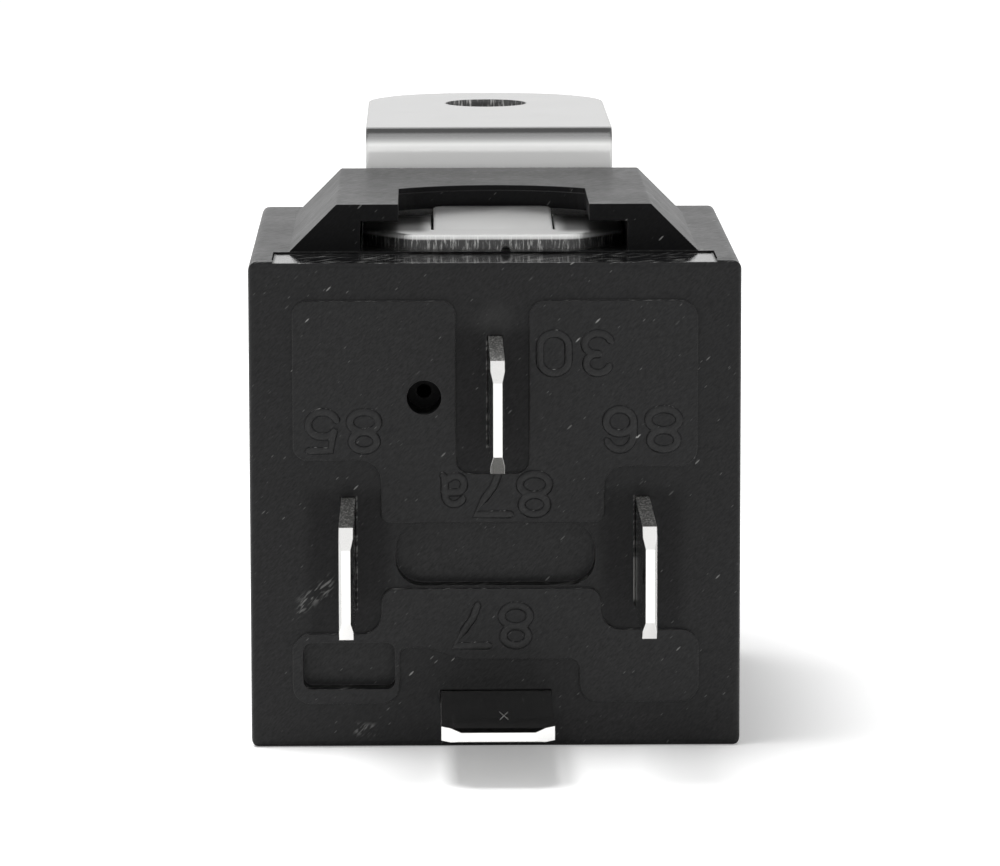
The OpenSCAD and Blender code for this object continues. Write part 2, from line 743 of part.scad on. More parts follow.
cover();
base();
mounting_bracket();
terminal_30();
terminal_85();
terminal_86();
terminal_87();
fixed_contact();
yoke();
core();
bobbin();
coil_winding();
coil_lead_85();
coil_lead_86();
armature();
contact_spring();
moving_contact();
armature_rivet(-1);  // armature_rivet_left
armature_rivet(1);  // armature_rivet_right
yoke_rivet(-1);  // yoke_rivet_left
yoke_rivet(1);  // yoke_rivet_right
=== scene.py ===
import json
from math import asin, ceil, cos, hypot, pi, radians, sin

import bpy
from mathutils import Matrix, Vector


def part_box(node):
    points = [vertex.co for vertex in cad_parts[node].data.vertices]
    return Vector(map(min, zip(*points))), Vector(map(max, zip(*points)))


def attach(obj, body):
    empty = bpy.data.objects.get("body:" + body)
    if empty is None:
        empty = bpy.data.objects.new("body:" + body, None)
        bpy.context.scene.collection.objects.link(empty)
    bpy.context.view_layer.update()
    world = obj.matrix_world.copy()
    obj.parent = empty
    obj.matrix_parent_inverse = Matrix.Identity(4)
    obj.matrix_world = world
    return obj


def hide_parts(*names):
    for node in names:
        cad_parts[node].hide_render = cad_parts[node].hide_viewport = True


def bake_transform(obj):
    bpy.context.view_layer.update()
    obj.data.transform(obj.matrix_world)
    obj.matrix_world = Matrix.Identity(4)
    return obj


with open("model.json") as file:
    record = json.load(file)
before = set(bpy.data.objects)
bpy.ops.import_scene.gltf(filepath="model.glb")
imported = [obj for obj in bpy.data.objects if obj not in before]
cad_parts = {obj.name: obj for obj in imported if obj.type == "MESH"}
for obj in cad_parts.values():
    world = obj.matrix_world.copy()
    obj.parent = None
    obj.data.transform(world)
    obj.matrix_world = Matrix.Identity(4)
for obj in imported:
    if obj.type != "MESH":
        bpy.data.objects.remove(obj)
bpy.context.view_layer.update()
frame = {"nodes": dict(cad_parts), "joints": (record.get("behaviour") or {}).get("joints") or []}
nodes = frame["nodes"]
bpy.context.scene.view_settings.view_transform = "Standard"

# Lengths are in millimetres until MM turns them into metres. X runs across the blade face, Y from
# the blades to the bracket's tab, and Z up
MM = 0.001
# How far a blade stands out of the base, and the Y of the base's blade face
BLADE = 11.4
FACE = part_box("terminal_30")[0].y / MM + BLADE

# The camera that was fitted to the photograph, with its angles in radians
SENSOR = 36
LENS = 198.542
EYE = (-3.954, FACE - 310.245, 64.716)
YAW, PITCH, ROLL = 0.013615, 0.148872, -0.001936

# World: the light that it throws, and its strength in reflections where the ceiling is dim
AMBIENT = 0.52
DIM_CEILING = 0.22
# Floor: its half width in metres, its colour, and its glow to the camera and in reflections
FLOOR_HALF = 2.5
FLOOR_GREY = 0.88
GLOW_SEEN = 0.24
GLOW_MIRRORED = 0.08

# Places on the blade face, each across and up
VENT = (-4.04, 20.27)
BEHIND_VENT = (-4.04, 20.1)
# The middle of a painted glow over blade 30, a painted reflection of the blade's top edge
PAINTED_GLOW = (0.0, 24.6)
UPRIGHT_BLADES = ((0.0, 20.6), (-8.38, 11.3), (8.38, 11.3))
# Torn slot rims: how far beside the blade's middle, then that middle
TORN_RIMS = ((-0.47, 0.0, 20.59), (0.47, -8.38, 11.33), (-0.47, 8.38, 11.33))
# The crossed scratch on blade 87, across and from the front
CROSS = (0.36, FACE - 7.4)

# Colours: a pair is the darker and the lighter end of what a material's noise mixes
PLASTIC = (0.0035, 0.0035, 0.0038, 1), (0.0085, 0.0085, 0.009, 1)
# Pale grey of the dust, scratches and wear on the black plastic; it also paints a glow and
# highlight streaks there
DUST_AND_SHEEN = (0.45, 0.45, 0.44, 1)
ROLLED = (0.49, 0.49, 0.485, 1), (0.55, 0.55, 0.545, 1)
SHEARED = (0.10, 0.10, 0.10, 1), (0.62, 0.62, 0.61, 1)
# The next five strip colours paint light and shade: a highlight line on the land, light on the
# plate's end and the riser, shade beside the tongue and on the fold
LAND_AND_HIGHLIGHT = (0.80, 0.80, 0.79, 1), (0.97, 0.97, 0.96, 1)
PAINTED_PLATE_LIGHT = (0.98, 0.98, 0.97, 1)
TONGUE_SIDE_SHADE = (0.10, 0.10, 0.10, 1), (0.24, 0.24, 0.235, 1)
PAINTED_RISER_LIGHT = (0.96, 0.96, 0.95, 1)
PAINTED_FOLD_SHADE = (0.36, 0.36, 0.36, 1)
TIN = (0.84, 0.835, 0.82, 1), (0.92, 0.915, 0.90, 1)
# The wide faces of the blades: the same tin, painted darker as painted shade
TIN_WIDE_SHADED = (0.47, 0.47, 0.46, 1), (0.60, 0.595, 0.58, 1)
TIN_TORN = (0.30, 0.30, 0.29, 1), (0.92, 0.91, 0.89, 1)
SHADED_IRON = (0.012, 0.012, 0.012, 1)
NYLON = (0.70, 0.66, 0.54, 1), (0.80, 0.77, 0.66, 1)
NYLON_EDGE = (0.9, 0.88, 0.8, 1)
ENAMEL = (0.30, 0.085, 0.028, 1), (0.45, 0.15, 0.05, 1)


# ---------------------------------------------------------------- camera, floor and light

def place(obj, matrix):
    bpy.context.scene.collection.objects.link(obj)
    obj.matrix_world = matrix
    return obj


def facing(location, yaw, pitch, roll):
    """Matrix of something at location that looks along +Y, turned to +X by yaw, down by pitch."""
    ahead = Vector((sin(yaw) * cos(pitch), cos(yaw) * cos(pitch), -sin(pitch)))
    level = Vector((cos(yaw), -sin(yaw), 0))
    upright = level.cross(ahead)
    right = level * cos(roll) + upright * sin(roll)
    up = upright * cos(roll) - level * sin(roll)
    matrix = Matrix((right, up, -ahead)).transposed().to_4x4()
    matrix.translation = location
    return matrix


def make_camera():
    data = bpy.data.cameras.new("camera")
    data.sensor_width = SENSOR
    data.lens = LENS
    data.clip_start, data.clip_end = 0.01, 20
    bpy.context.scene.camera = place(
        bpy.data.objects.new("camera", data), facing(Vector(EYE) * MM, YAW, PITCH, ROLL)
    )


def make_lamp(name, location, target, size, watts):
    """A disk of light: location, target and size in metres."""
    data = bpy.data.lights.new(name, "AREA")
    data.shape = "DISK"
    data.size = size
    data.energy = watts
    where = Vector(location)
    turn = (Vector(target) - where).to_track_quat("-Z", "Y").to_matrix().to_4x4()
    turn.translation = where
    # Mirrors see the world's ceiling and not the lamp's disk
    place(bpy.data.objects.new(name, data), turn).visible_glossy = False


class Tree:
    """A node tree that is built by calls; a value is a number, a tuple or a socket."""

    def __init__(self, owner):
        owner.use_nodes = True
        self.tree = owner.node_tree
        self.tree.nodes.clear()

    def node(self, kind, values=None, **settings):
        made = self.tree.nodes.new("ShaderNode" + kind)
        for key, value in settings.items():
            setattr(made, key, value)
        for key, value in (values or {}).items():
            self.give(made.inputs[key], value)
        return made

    def give(self, socket, value):
        if isinstance(value, bpy.types.NodeSocket):
            self.tree.links.new(value, socket)
        else:
            socket.default_value = value

    def math(self, operation, a, b=0.0, c=0.0, clamp=False):
        made = self.node("Math", {0: a, 1: b, 2: c}, operation=operation, use_clamp=clamp)
        return made.outputs[0]

    def product(self, *values):
        total = values[0]
        for value in values[1:]:
            total = self.math("MULTIPLY", total, value)
        return total

    def largest(self, *values):
        top = values[0]
        for value in values[1:]:
            top = self.math("MAXIMUM", top, value)
        return top

    def vector(self, operation, a, b=(0, 0, 0)):
        made = self.node("VectorMath", {0: a, 1: b}, operation=operation)
        return made.outputs["Value" if operation in ("DOT_PRODUCT", "LENGTH") else "Vector"]

    def axes(self, vector):
        return self.node("SeparateXYZ", {0: vector}).outputs[:3]

    def true_normal(self):
        return self.axes(self.node("NewGeometry").outputs["True Normal"])

    def distance(self, x, z, middle):
        """How far x and z are from a place given across and up."""
        return self.vector("LENGTH", self.node("CombineXYZ", {
            0: self.math("SUBTRACT", x, middle[0]),
            2: self.math("SUBTRACT", z, middle[1])}).outputs[0])

    def step(self, value, low, high):
        """0 below low, 1 above high, smooth between; low above high turns it round."""
        made = self.node("MapRange", {"Value": value, "From Min": low, "From Max": high})
        made.interpolation_type = "SMOOTHSTEP"
        return made.outputs[0]

    def band(self, value, low, high, soft):
        """1 from low to high, falling to 0 over a width of twice soft at both."""
        return self.product(self.step(value, low - soft, low + soft),
                            self.step(value, high + soft, high - soft))

    def mix(self, factor, a, b):
        made = self.node("Mix", data_type="RGBA")
        for index, value in ((0, factor), (6, a), (7, b)):
            self.give(made.inputs[index], value)
        return made.outputs[2]

    def blend(self, factor, a, b):
        made = self.node("Mix", data_type="FLOAT")
        for index, value in ((0, factor), (2, a), (3, b)):
            self.give(made.inputs[index], value)
        return made.outputs[0]

    def noise(self, where, scale, detail=2.0, roughness=0.5):
        return self.node("TexNoise", {"Vector": where, "Scale": scale, "Detail": detail,
                                      "Roughness": roughness}).outputs[0]


def make_world():
    world = bpy.data.worlds.new("studio")
    bpy.context.scene.world = world
    t = Tree(world)
    path = t.node("LightPath").outputs
    _, y, z = t.axes(t.node("TexCoord").outputs["Generated"])
    # Reflections see a white horizon and front, and a dim ceiling from the zenith to the back
    dim = t.product(t.step(z, 0.34, 0.6), t.step(y, -0.16, 0.08))
    seen = t.blend(path["Is Camera Ray"], t.blend(dim, 1.0, DIM_CEILING), 1.0)
    shown = t.largest(path["Is Camera Ray"], path["Is Glossy Ray"], path["Is Transmission Ray"])
    background = t.node("Background", {"Color": (1, 1, 1, 1),
                                       "Strength": t.blend(shown, AMBIENT, seen)})
    t.node("OutputWorld", {"Surface": background.outputs[0]})


def make_floor():
    mesh = bpy.data.meshes.new("floor")
    half = FLOOR_HALF
    mesh.from_pydata([(-half, -half, 0), (half, -half, 0), (half, half, 0), (-half, half, 0)],
                     [], [(0, 1, 2, 3)])
    floor = place(bpy.data.objects.new("floor", mesh), Matrix.Identity(4))
    material = bpy.data.materials.new("pale_floor")
    t = Tree(material)
    path = t.node("LightPath").outputs
    lit = t.node("BsdfDiffuse", {"Color": (FLOOR_GREY, FLOOR_GREY, FLOOR_GREY, 1)})
    # The glow is for the camera and, weaker, for reflections: it lights nothing
    mirrored = t.product(t.largest(path["Is Glossy Ray"], path["Is Transmission Ray"]),
                         GLOW_MIRRORED)
    glow = t.math("MULTIPLY_ADD", path["Is Camera Ray"], GLOW_SEEN, mirrored)
    white = t.node("Emission", {"Color": (1, 1, 1, 1), "Strength": glow})
    both = t.node("AddShader", {0: lit.outputs[0], 1: white.outputs[0]})
    t.node("OutputMaterial", {"Surface": both.outputs[0]})
    mesh.materials.append(material)


# ---------------------------------------------------------------- materials

def start(name):
    """A new material, its tree, and the place on the object in millimetres."""
    material = bpy.data.materials.new(name)
    t = Tree(material)
    where = t.vector("SCALE", t.node("TexCoord").outputs["Object"])
    where.node.inputs["Scale"].default_value = 1 / MM
    return material, t, where


def close(t, bump, values):
    """Ends a tree with a Bump and a Principled shader, each given by its sockets' values."""
    normal = t.node("Bump", bump).outputs[0]
    shader = t.node("BsdfPrincipled", {**values, "Normal": normal})
    t.node("OutputMaterial", {"Surface": shader.outputs[0]})


def edges(t, radius, low=0.02, high=0.2):
    """Rounded normal, and a mask of the worn edges."""
    rounded = t.node("Bevel", samples=6)
    rounded.inputs["Radius"].default_value = radius * MM
    sharp = t.node("NewGeometry").outputs["Normal"]
    turn = t.math("SUBTRACT", 1.0, t.vector("DOT_PRODUCT", rounded.outputs[0], sharp))
    return rounded.outputs[0], t.step(turn, low, high)


def leaning(t, where, along, across):
    """Coordinates stretched along the faces' diagonal, which moulding marks and dust follow."""
    u = t.vector("DOT_PRODUCT", where, (0.7, 0.7, 0.7))
    v = t.vector("DOT_PRODUCT", where, (0.7, -0.7, -0.7))
    w = t.vector("DOT_PRODUCT", where, (0.0, 0.7, -0.7))
    return t.node("CombineXYZ", {0: t.product(u, along), 1: t.product(v, across),
                                 2: t.product(w, 0.6 * along)}).outputs[0]


def flecks(t, where, along, across, share, size):
    """Short bright strokes along the diagonal: few bright ones and many faint ones."""
    cells = t.node("TexVoronoi", {"Vector": leaning(t, where, along, across), "Scale": 1.0})
    lot = t.node("SeparateColor", {0: cells.outputs["Color"]}).outputs[0]
    luck = t.math("MULTIPLY", t.math("SUBTRACT", lot, 1.0 - share), 1.0 / share, clamp=True)
    return t.product(t.math("POWER", luck, 3.0),
                     t.step(cells.outputs["Distance"], size, 0.4 * size))


def moulded_black(name, base):
    """Black glass-filled nylon: fine diagonal grain, dust, short scratches and worn edges, with
    painted highlight streaks on the upper side and painted shade round the upright blades.
    """
    material, t, where = start(name)
    x, y, z = t.axes(where)
    rounded, worn = edges(t, 0.10)
    grain = t.noise(leaning(t, where, 1.3, 8.0), 1.0, 2.0, 0.6)
    cloud = t.noise(where, 0.22, 3.0, 0.6)
    fine_dust = t.product(flecks(t, where, 2.4, 10.0, 0.07, 0.36), 0.22)
    dust = t.largest(flecks(t, where, 1.3, 6.0, 0.022, 0.34), fine_dust)
    _, normal_y, normal_z = t.true_normal()
    # Long scratches on the upper side, thicker near the blade face; they also paint highlight
    # streaks on the upper faces
    scratch = t.step(t.noise(leaning(t, where, 0.7, 8.0), 1.0, 1.0), 0.56, 0.76)
    near = t.step(y, FACE + 9.0, FACE)
    rubbed_and_sheen = t.product(scratch, t.step(normal_z, 0.6, 0.9), t.blend(near, 0.03, 0.6))
    # Pale marks: dust, scratches and worn edges, with the painted highlight streaks
    marks = t.largest(dust, rubbed_and_sheen, t.product(worn, 0.05))
    rough = t.math("ADD", t.product(grain, 0.26), t.product(cloud, 0.14))
    rough = t.math("ADD", rough, 0.17)
    # The end faces set back over the blade face are dull
    dull = t.product(t.step(z, 27.0, 27.2), t.step(normal_y, -0.6, -0.9),
                     t.step(y, FACE + 0.5, FACE + 0.6))
    # Painted shade: the ground between the raised panels shines less than they do, and least round
    # the upright blades, where shade falls
    sunk_shade = t.largest(*[
        t.product(t.band(x, middle - 2.3, middle + 2.3, 0.5),
                  t.band(z, height - 4.6, height + 3.6, 0.5))
        for middle, height in UPRIGHT_BLADES])
    sunk_shade = t.product(t.math("MULTIPLY_ADD", sunk_shade, 0.7, 0.3),
                     t.band(y, FACE - 0.1, FACE + 0.1, 0.05))
    if base:
        # The vent is made dull inside, painted shade for a deep dark hole, and the apron on top is
        # smooth
        vent = t.step(t.distance(x, z, VENT), 1.15, 1.05)
        dull = t.largest(dull, t.product(vent, t.step(y, FACE + 0.05, FACE + 0.2)))
        marks = t.largest(marks, face_wear_and_glow(t, x, y, z, where))
        apron = t.product(t.step(z, 27.6, 27.8), t.band(x, -12.5, 12.5, 0.1),
                          t.step(y, FACE + 0.25, FACE + 0.35))
        rough = t.blend(apron, rough, 0.08)
    # Fine spark grain: the shine varies over it
    fine = t.noise(leaning(t, where, 3.2, 11.0), 1.0, 2.0, 0.7)
    shine = t.product(t.blend(dull, t.blend(sunk_shade, 0.29, 0.19), 0.08),
                      t.math("MULTIPLY_ADD", fine, 1.2, 0.4))
    close(t, {"Strength": 0.55, "Distance": 0.012 * MM, "Height": grain, "Normal": rounded}, {
        "Base Color": t.mix(marks, t.mix(cloud, *PLASTIC), DUST_AND_SHEEN), "Roughness": rough, "IOR": 1.5,
        "Specular IOR Level": shine})
    return material


def face_wear_and_glow(t, x, y, z, where):
    """Wear of the blade face: a fan of rubbing wear beside blade 85 and torn rims, and a painted
    glow over blade 30, a painted reflection of its top edge.
    """
    face = t.step(y, FACE + 0.4, FACE + 0.3)
    torn = t.step(t.noise(leaning(t, where, 1.6, 7.0), 1.0, 1.0), 0.46, 0.64)
    # The fan runs up to the right
    up = t.math("ADD", t.product(x, 0.75), 16.6)
    fan = t.product(t.band(x, -11.3, -9.35, 0.25),
                    t.band(t.math("SUBTRACT", z, up), -0.45, 0.45, 0.35))
    foot = t.product(t.band(x, -8.1, -6.9, 0.2), t.band(z, 0.75, 1.3, 0.25))
    # A painted glow over blade 30: a painted reflection of the blade's top edge on the face
    glow_and_number_rub = t.product(t.step(t.distance(x, z, PAINTED_GLOW), 1.6, 0.2), 0.03)
    # The tops of the terminal numbers stand out of the face and are rubbed a little
    number = t.product(t.step(y, FACE - 0.36, FACE - 0.40), t.step(y, FACE - 1.0, FACE - 0.9))
    glow_and_number_rub = t.math("ADD", glow_and_number_rub, t.product(number, 0.018))
    rims = t.largest(*[
        t.product(t.band(x, middle + side - 0.04, middle + side + 0.04, 0.03),
                  t.band(z, height - 3.3, height + 3.2, 0.1))
        for side, middle, height in TORN_RIMS])
    # A thin bright burr beside blade 86
    burr = t.product(t.band(x, 7.88, 7.96, 0.03), t.band(z, 8.5, 11.0, 0.1))
    worn = t.math("ADD", t.product(t.largest(fan, foot), 0.32), t.product(rims, 0.35))
    return t.product(face, t.largest(t.product(worn, torn), glow_and_number_rub, t.product(burr, 0.6)))


def sheet_steel(name):
    """Plated strip: smooth where it was rolled and folded, streaked where it was sheared, with
    painted light on the plate's end and the upright part and painted shade beside the tongue and on
    the fold.
    """
    material, t, where = start(name)
    x, y, z = t.axes(where)
    rounded, worn = edges(t, 0.32, 0.01, 0.12)
    nx, _, nz = t.true_normal()
    flat = t.step(t.math("ABSOLUTE", nz), 0.5, 0.8)
    folds = t.product(t.band(y, FACE + 25.0, FACE + 31.0, 0.1),
                      t.step(t.math("ABSOLUTE", nx), 0.6, 0.4))
    skin = t.largest(flat, folds)
    rolled = t.noise(t.vector("MULTIPLY", where, (6.0, 0.3, 6.0)), 1.0, 3.0)
    streak = t.noise(t.vector("MULTIPLY", where, (8.0, 8.0, 0.9)), 1.0, 3.0, 0.75)
    cloud = t.noise(where, 0.35, 3.0, 0.6)
    # The shear left a smooth land under the plate's upper edge, painted bright as a painted
    # highlight line
    front = t.step(y, FACE + 15.0, FACE + 14.0)
    land_and_highlight = t.product(t.step(z, 28.66, 28.76), front)
    bright = t.step(streak, 0.50, 0.68)
    sheared = t.mix(land_and_highlight, t.mix(bright, *SHEARED), t.mix(bright, *LAND_AND_HIGHLIGHT))
    colour = t.mix(skin, sheared, t.mix(cloud, *ROLLED))
    # The flats and edges of the plate over the base are painted bright as painted light, with
    # painted shade beside the tongue
    lit_plate_end = t.product(t.largest(worn, flat), front)
    colour = t.mix(lit_plate_end, colour, PAINTED_PLATE_LIGHT)
    beside = t.product(t.step(t.math("ABSOLUTE", x), 3.5, 4.4),
                       t.step(y, FACE + 5.2, FACE + 7.5), lit_plate_end)
    colour = t.mix(beside, colour, t.mix(cloud, *TONGUE_SIDE_SHADE))
    # The riser is painted bright as painted light, and the fold above it is painted darker as
    # painted shade
    riser = t.product(folds, t.step(z, 32.55, 32.0))
    shaded_fold = t.product(folds, t.step(z, 32.0, 32.55), t.band(nz, 0.08, 0.995, 0.003))
    colour = t.mix(riser, colour, PAINTED_RISER_LIGHT)
    colour = t.mix(shaded_fold, colour, PAINTED_FOLD_SHADE)
    smooth = t.math("ADD", 0.17, t.product(cloud, 0.06))
    rough = t.blend(skin, 0.42, t.blend(riser, smooth, 0.5))
    rough = t.blend(lit_plate_end, rough, t.blend(cloud, 0.30, 0.50))
    close(t, {"Strength": t.blend(skin, 0.9, 0.06), "Distance": 0.04 * MM,
              "Height": t.blend(skin, streak, rolled), "Normal": rounded},
          {"Base Color": colour, "Metallic": 1.0, "Roughness": rough})
    return material


def blade_metal(name):
    """Tinned brass blade: wide faces painted darker as painted shade, mirror-bright tips and torn
    narrow edges.
    """
    material, t, where = start(name)
    x, y, z = t.axes(where)
    rounded = edges(t, 0.06)[0]
    nx, ny, nz = [t.math("ABSOLUTE", part) for part in t.true_normal()]
    # The narrow edges of the upright blades look up or down, and those of blade 87 sideways
    lying = t.step(z, 4.6, 4.4)
    edge = t.blend(lying, t.step(nz, 0.9, 0.97), t.step(nx, 0.9, 0.97))
    wide = t.blend(lying, t.step(nx, 0.6, 0.9), t.step(nz, 0.6, 0.9))
    streaks = t.noise(t.vector("MULTIPLY", where, (9.0, 2.5, 9.0)), 1.0, 3.0, 0.7)
    cloud = t.noise(where, 0.9, 3.0, 0.6)
    torn = t.mix(t.step(streaks, 0.42, 0.66), *TIN_TORN)
    # The wide faces get a darker copy of the tin: painted shade
    colour = t.mix(wide, t.mix(edge, t.mix(cloud, *TIN), torn), t.mix(cloud, *TIN_WIDE_SHADED))
    # The cut corners of the tip catch the light from all round
    cut = t.product(t.step(y, FACE - BLADE + 1.3, FACE - BLADE + 1.2), t.band(ny, 0.3, 0.9, 0.05))
    smooth = t.math("ADD", 0.08, t.product(streaks, 0.08))
    rough = t.blend(edge, t.blend(cut, smooth, 0.16), 0.5)
    # A small crossed scratch on top of blade 87
    across = t.math("SUBTRACT", x, CROSS[0])
    along = t.product(t.math("SUBTRACT", y, CROSS[1]), 0.22)
    crossed = t.largest(t.band(t.math("ADD", across, along), -0.03, 0.03, 0.02),
                        t.band(t.math("SUBTRACT", across, along), -0.03, 0.03, 0.02))
    crossed = t.product(crossed, lying, t.band(across, -0.24, 0.24, 0.04),
                        t.band(along, -0.26, 0.26, 0.04))
    close(t, {"Strength": t.blend(edge, 0.08, 0.7), "Distance": 0.03 * MM, "Height": streaks,
              "Normal": rounded},
          {"Base Color": colour, "Metallic": 1.0, "Roughness": t.blend(crossed, rough, 0.8)})
    return material


def plain_metal(name, dark, light, rough_low, rough_high, radius, shade_behind_vent=False):
    """Pressed, turned or rolled metal of the inner parts; the last flag adds painted shade: a dark
    spot behind the vent.
    """
    material, t, where = start(name)
    rounded, worn = edges(t, radius)
    cloud = t.noise(where, 0.8, 4.0, 0.6)
    fine = t.noise(where, 9.0, 2.0)
    edge_colour = (*[min(1.0, c * 1.25) for c in light], 1)
    colour = t.mix(t.product(worn, 0.4), t.mix(cloud, (*dark, 1), (*light, 1)), edge_colour)
    rough = t.blend(fine, rough_low, rough_high)
    if shade_behind_vent:
        x, y, z = t.axes(where)
        # Painted shade: the iron behind the vent is darkened to look like the deep hole's shade
        shade_spot = t.product(t.step(t.distance(x, z, BEHIND_VENT), 2.0, 1.2),
                         t.step(y, FACE + 6.0, FACE + 5.5))
        colour = t.mix(shade_spot, colour, SHADED_IRON)
        rough = t.blend(shade_spot, rough, 0.9)
    close(t, {"Strength": 0.3, "Distance": 0.01 * MM, "Height": fine, "Normal": rounded},
          {"Base Color": colour, "Metallic": 1.0, "Roughness": rough})
    return material


def bobbin_nylon(name):
    """Natural nylon, a little translucent."""
    material, t, where = start(name)
    rounded, worn = edges(t, 0.1)
    cloud = t.noise(where, 0.5, 3.0)
    fine = t.noise(where, 7.0, 2.0)
    colour = t.mix(t.product(worn, 0.3), t.mix(cloud, *NYLON), NYLON_EDGE)
    close(t, {"Strength": 0.2, "Distance": 0.01 * MM, "Height": fine, "Normal": rounded}, {
        "Base Color": colour, "Roughness": t.blend(fine, 0.4, 0.55),
        "Subsurface Weight": 0.05, "Subsurface Scale": 0.0005})
    return material


def wound_copper(name):
    """Enamelled wire: a fine turn pattern along the coil's axis."""
    material, t, where = start(name)
    pitch = 0.12
    along = t.axes(where)[1]
    turns = t.math("ABSOLUTE", t.math("SINE", t.product(along, pi / pitch)))
    cloud = t.noise(where, 1.5, 3.0)
    close(t, {"Strength": 0.8, "Distance": 0.04 * MM, "Height": turns}, {
        "Base Color": t.mix(cloud, *ENAMEL), "Metallic": 0.7,
        "Roughness": t.blend(cloud, 0.25, 0.4), "Coat Weight": 0.6, "Coat Roughness": 0.15})
    return material


base_black = moulded_black("base_black", True)
# Inner metals: darker and lighter colour, lower and higher roughness, radius of the soft edges
MATERIALS = {
    "cover": moulded_black("cover_black", False),
    "base": base_black,
    "mounting_bracket": sheet_steel("bracket_strip"),
    "terminal_30": blade_metal("tinned_blade"),
    "fixed_contact": plain_metal(
        "silver_contact", (0.75, 0.74, 0.70), (0.90, 0.89, 0.86), 0.2, 0.4, 0.05),
    "yoke": plain_metal(
        "plated_iron", (0.42, 0.43, 0.44), (0.60, 0.61, 0.62), 0.3, 0.45, 0.12, shade_behind_vent=True),
    "bobbin": bobbin_nylon("bobbin_nylon"),
    "coil_winding": wound_copper("wound_copper"),
    "contact_spring": plain_metal(
        "spring_bronze", (0.55, 0.36, 0.19), (0.72, 0.50, 0.28), 0.2, 0.35, 0.05),
    "yoke_rivet_left": plain_metal(
        "rivet_steel", (0.5, 0.5, 0.5), (0.7, 0.7, 0.69), 0.25, 0.4, 0.08),
}
# Pieces that wear the material of another
SAME = {
    "terminal_85": "terminal_30", "terminal_86": "terminal_30", "terminal_87": "terminal_30",
    "moving_contact": "fixed_contact", "core": "yoke", "armature": "yoke",
    "coil_lead_85": "coil_winding", "coil_lead_86": "coil_winding",
    "yoke_rivet_right": "yoke_rivet_left", "armature_rivet_left": "yoke_rivet_left",
    "armature_rivet_right": "yoke_rivet_left",
}


def dress():
    for name, obj in nodes.items():
        material = MATERIALS[SAME.get(name, name)]
        for slot in obj.material_slots:
            slot.material = material


# ---------------------------------------------------------------- terminal numbers

def arc(cx, cy, rx, ry, first, last):
    """Points along part of an ellipse, in degrees anticlockwise from +u."""
    count = max(4, ceil(abs(last - first) / 12))
    turns = [radians(first + (last - first) * i / count) for i in range(count + 1)]
    return [(cx + rx * cos(a), cy + ry * sin(a)) for a in turns]


# Centre lines of each sign in a unit box, and whether a line is closed
SIGNS = {
    "0": [(arc(0.5, 0.68, 0.5, 0.32, 0, 180) + arc(0.5, 0.32, 0.5, 0.32, 180, 360), True)],
    "3": [(arc(0.48, 0.755, 0.44, 0.245, 160, -90), False),
          (arc(0.48, 0.265, 0.5, 0.265, 90, -160), False)],
    "5": [([(0.93, 1.0), (0.2, 1.0), (0.1, 0.52)], False),
          (arc(0.47, 0.32, 0.51, 0.32, 140, -158), False)],
    "6": [(arc(0.5, 0.3, 0.5, 0.3, 0, 360)[:-1], True),
          ([(0.0, 0.3)] + arc(0.5, 0.62, 0.5, 0.38, 180, 28), False)],
    "7": [([(0.0, 1.0), (1.0, 1.0), (0.72, 0.62), (0.45, 0.3), (0.32, 0.0)], False)],
    "8": [(arc(0.5, 0.76, 0.44, 0.24, 0, 360)[:-1], True),
          (arc(0.5, 0.26, 0.5, 0.26, 0, 360)[:-1], True)],
    "a": [(arc(0.48, 0.66, 0.46, 0.34, 150, 0) + [(0.94, 0.1), (1.0, 0.0)], False),
          ([(0.94, 0.58)] + arc(0.36, 0.29, 0.36, 0.29, 90, 270) + [(0.62, 0.03), (0.94, 0.2)],
           False)],
}
# Section of a stroke, closed: across in half widths, and out in heights, from foot to foot
SECTION = [(-1.0, -0.6), (-1.0, 0.0), (-0.85, 0.55), (-0.62, 0.9), (-0.3, 1.0),
           (0.3, 1.0), (0.62, 0.9), (0.85, 0.55), (1.0, 0.0), (1.0, -0.6)]
STROKE = 0.48
RELIEF = 0.10
# Each further line of a sign is lower by this share, so that crossing lines share no surface
LOWER = 0.12
# A line's rounded ends: the turns of their rings, and the least width of the last one
END_TURNS = (radians(40), radians(75), radians(90))
END_WIDTH = 0.12


